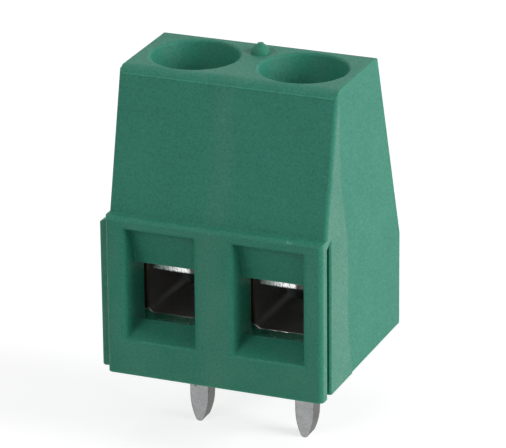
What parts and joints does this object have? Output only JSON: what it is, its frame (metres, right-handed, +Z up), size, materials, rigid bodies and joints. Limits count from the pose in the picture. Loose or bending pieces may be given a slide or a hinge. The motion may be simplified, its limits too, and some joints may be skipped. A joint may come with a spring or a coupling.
{
  "type": "pcb screw terminal block",
  "caption": "Screw terminal block for a circuit board, with rising cage clamps: wires enter at the front, screws turn from the top, stamped pins solder below.",
  "frame": {"origin": "on the board's face, under the middle of the housing, on the row of solder pins, halfway between the two poles", "axes": "+X along the poles, +Y from the wire entries to the back, +Z up away from the board"},
  "size_m": [0.0106, 0.0097, 0.0178],
  "materials": {
    "housing": "satin moulded nylon, green",
    "contact": "dull tin plating on stamped copper alloy",
    "cage": "bright nickel plating on brass",
    "screw": "clear zinc plating on steel"
  },
  "bodies": {
    "block": {"housing": "housing", "contact_1": "contact", "contact_2": "contact"},
    "screw_1": {"clamp_screw_1": "screw"},
    "screw_2": {"clamp_screw_2": "screw"},
    "cage_1": {"clamp_cage_1": "cage"},
    "cage_2": {"clamp_cage_2": "cage"}
  },
  "joints": [
    {"name": "screw_1_turn", "type": "hinge", "parent": "block", "child": "screw_1", "pos_m": [-0.00254, -0.00025, 0.0096], "axis": [0, 0, -1], "range_deg": [0, 1440]},
    {"name": "screw_2_turn", "type": "hinge", "parent": "block", "child": "screw_2", "pos_m": [0.00254, -0.00025, 0.0096], "axis": [0, 0, -1], "range_deg": [0, 1440]},
    {"name": "cage_1_rise", "type": "slide", "parent": "block", "child": "cage_1", "axis": [0, 0, 1], "range_m": [0, 0.002]},
    {"name": "cage_2_rise", "type": "slide", "parent": "block", "child": "cage_2", "axis": [0, 0, 1], "range_m": [0, 0.002]}
  ],
  "couplings": [
    {"joint": "screw_1_turn", "follows": "cage_1_rise", "rad_per_m": 12566},
    {"joint": "screw_2_turn", "follows": "cage_2_rise", "rad_per_m": 12566}
  ]
}
